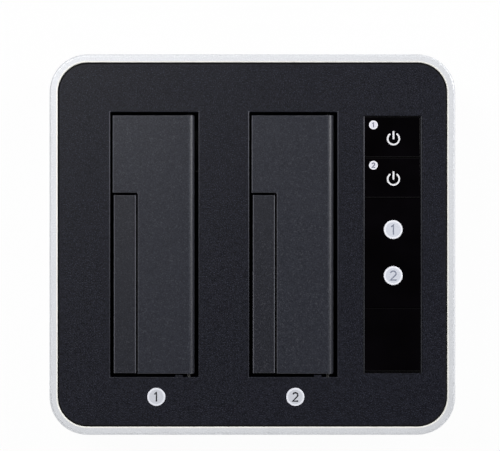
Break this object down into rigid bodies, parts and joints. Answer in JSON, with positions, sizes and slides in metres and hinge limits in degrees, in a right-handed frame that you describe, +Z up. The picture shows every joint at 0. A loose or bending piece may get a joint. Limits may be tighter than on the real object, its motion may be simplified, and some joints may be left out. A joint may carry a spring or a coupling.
{
  "type": "dual-bay drive dock",
  "caption": "Desktop drive dock: aluminium housing with a black top, sprung door-in-door drive bays, power keys and a status strip.",
  "frame": {"origin": "middle of the footprint, on the surface the feet stand on", "axes": "+Z up, -Y the front with the bay numbers, +Y the rear with the ports, +X to the right"},
  "size_m": [0.16, 0.15, 0.066],
  "materials": {
    "shell": "fine bead-blasted and anodised, silver",
    "housing_plastic": "fine spark-eroded texture, black",
    "door_plastic": "fine spark-eroded texture, black",
    "gloss_black": "polished piano black",
    "white_plastic": "smooth white",
    "rubber": "matt black",
    "steel": "bright drawn steel",
    "contact_metal": "gold-plated",
    "board": "solder-mask green",
    "chip": "moulded epoxy, black",
    "can": "sleeved aluminium can",
    "lens_led": "clear resin",
    "ribbon": "white film"
  },
  "bodies": {
    "housing": {"base_cover": "housing_plastic", "bay_badge_1": "white_plastic", "bay_badge_2": "white_plastic", "blank_plate": "gloss_black", "board_capacitors": "can", "board_chips": "chip", "board_screws": "steel", "case_screws": "steel", "control_frame": "housing_plastic", "dc_jack": "housing_plastic", "dc_jack_pin": "contact_metal", "door_pin_1": "steel", "door_pin_2": "steel", "door_spring_1": "steel", "door_spring_2": "steel", "drive_well_1": "housing_plastic", "drive_well_2": "housing_plastic", "flat_cable": "ribbon", "foot_1": "rubber", "foot_2": "rubber", "foot_3": "rubber", "foot_4": "rubber", "key_board": "board", "main_board": "board", "panel_screws": "steel", "rear_port_plate": "housing_plastic", "sata_contacts_1": "contact_metal", "sata_contacts_2": "contact_metal", "sata_socket_1": "housing_plastic", "sata_socket_2": "housing_plastic", "side_shell": "shell", "status_leds": "lens_led", "status_lens_1": "white_plastic", "status_lens_2": "white_plastic", "status_window": "gloss_black", "tact_switch_1": "chip", "tact_switch_2": "chip", "top_cover": "housing_plastic", "usb_socket": "steel", "usb_tongue": "chip", "well_screws": "steel"},
    "drive_door_1": {"drive_door_1": "door_plastic", "slim_pin_1": "steel", "slim_spring_1": "steel"},
    "slim_door_1": {"slim_door_1": "door_plastic"},
    "power_key_1": {"power_key_1": "gloss_black", "key_badge_1": "white_plastic", "switch_plunger_1": "chip"},
    "drive_door_2": {"drive_door_2": "door_plastic", "slim_pin_2": "steel", "slim_spring_2": "steel"},
    "slim_door_2": {"slim_door_2": "door_plastic"},
    "power_key_2": {"power_key_2": "gloss_black", "key_badge_2": "white_plastic", "switch_plunger_2": "chip"}
  },
  "joints": [
    {"name": "drive_door_1_hinge", "type": "hinge", "parent": "housing", "child": "drive_door_1", "pos_m": [-0.02508, 0, 0.0631], "axis": [0, -1, 0], "range_deg": [0, 90], "stiffness_Nm_per_rad": 0.004, "springref_deg": -34.38, "deforming": ["door_spring_1"]},
    {"name": "slim_door_1_hinge", "type": "hinge", "parent": "drive_door_1", "child": "slim_door_1", "pos_m": [-0.04213, 0, 0.0617], "axis": [0, -1, 0], "range_deg": [0, 90], "stiffness_Nm_per_rad": 0.001, "springref_deg": -34.38, "deforming": ["slim_spring_1"]},
    {"name": "drive_door_2_hinge", "type": "hinge", "parent": "housing", "child": "drive_door_2", "pos_m": [0.02972, 0, 0.0631], "axis": [0, -1, 0], "range_deg": [0, 90], "stiffness_Nm_per_rad": 0.004, "springref_deg": -34.38, "deforming": ["door_spring_2"]},
    {"name": "slim_door_2_hinge", "type": "hinge", "parent": "drive_door_2", "child": "slim_door_2", "pos_m": [0.01267, 0, 0.0617], "axis": [0, -1, 0], "range_deg": [0, 90], "stiffness_Nm_per_rad": 0.001, "springref_deg": -34.38, "deforming": ["slim_spring_2"]},
    {"name": "power_key_1_press", "type": "slide", "parent": "housing", "child": "power_key_1", "axis": [0, 0, -1], "range_m": [0, 0.0006], "stiffness_N_per_m": 2500, "springref_m": -0.0002},
    {"name": "power_key_2_press", "type": "slide", "parent": "housing", "child": "power_key_2", "axis": [0, 0, -1], "range_m": [0, 0.0006], "stiffness_N_per_m": 2500, "springref_m": -0.0002}
  ]
}
